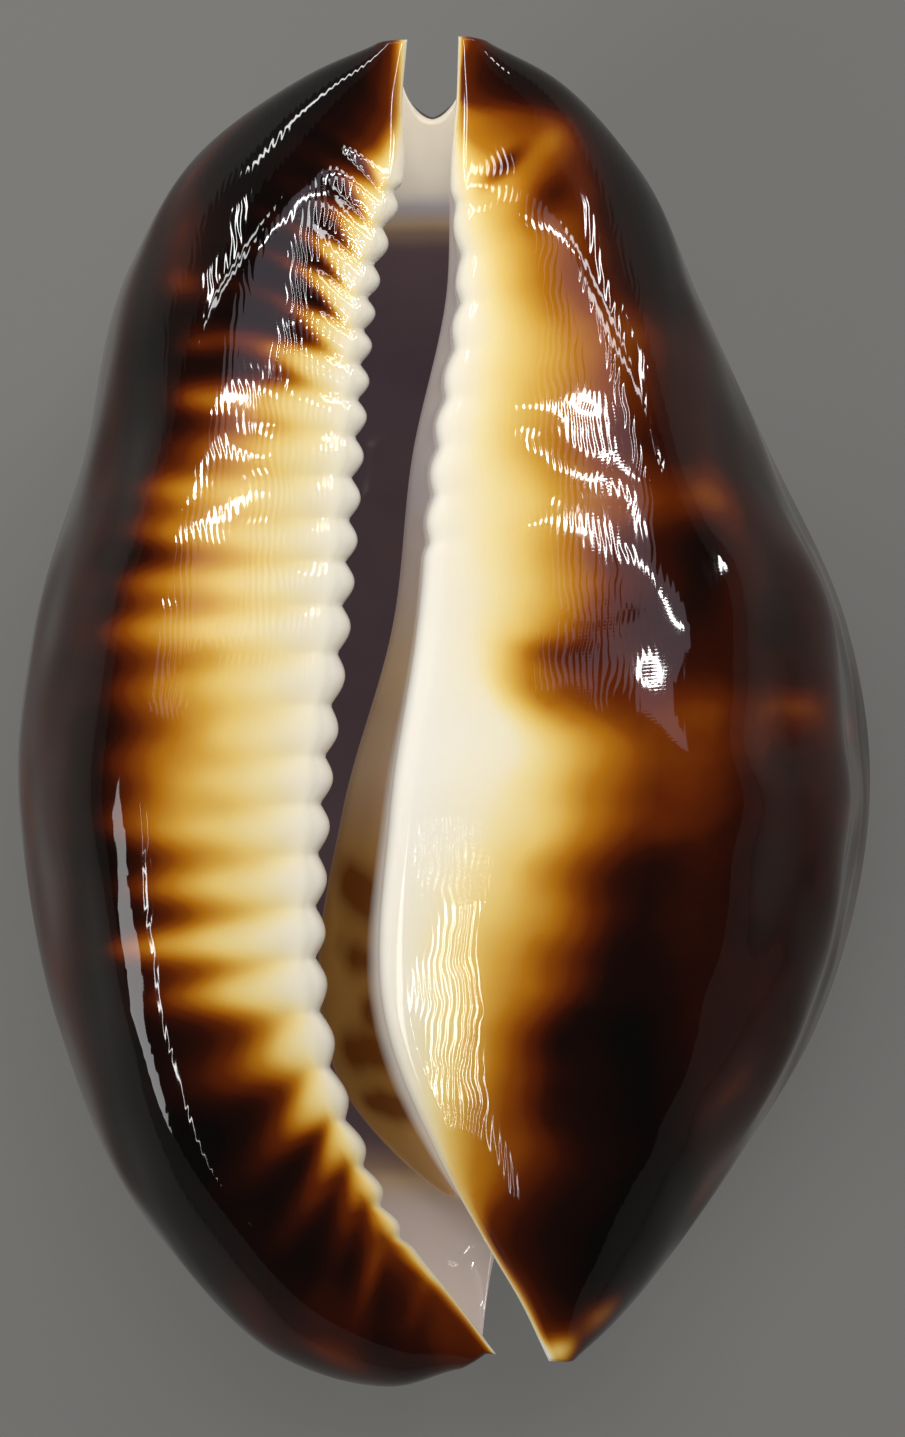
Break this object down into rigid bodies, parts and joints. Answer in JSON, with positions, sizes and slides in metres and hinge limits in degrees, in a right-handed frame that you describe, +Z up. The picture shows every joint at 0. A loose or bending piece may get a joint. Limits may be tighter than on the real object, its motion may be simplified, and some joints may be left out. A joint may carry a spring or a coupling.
{
  "type": "cowrie shell",
  "caption": "Glossy cowrie shell lying on its back, the long toothed slit upward, with a notch at each end and the rolled inner whorl seen through the slit.",
  "frame": {"origin": "middle of the bounding box, on the surface the shell lies on", "axes": "+Y towards the front end, the longest way; +X towards the smooth lip; +Z up, out of the slit"},
  "size_m": [0.0522, 0.08, 0.0436],
  "materials": {
    "shell_enamel": "high natural gloss, dark brown to black, cream and amber round the slit"
  },
  "bodies": {
    "root": {"shell": "shell_enamel"}
  },
  "joints": []
}
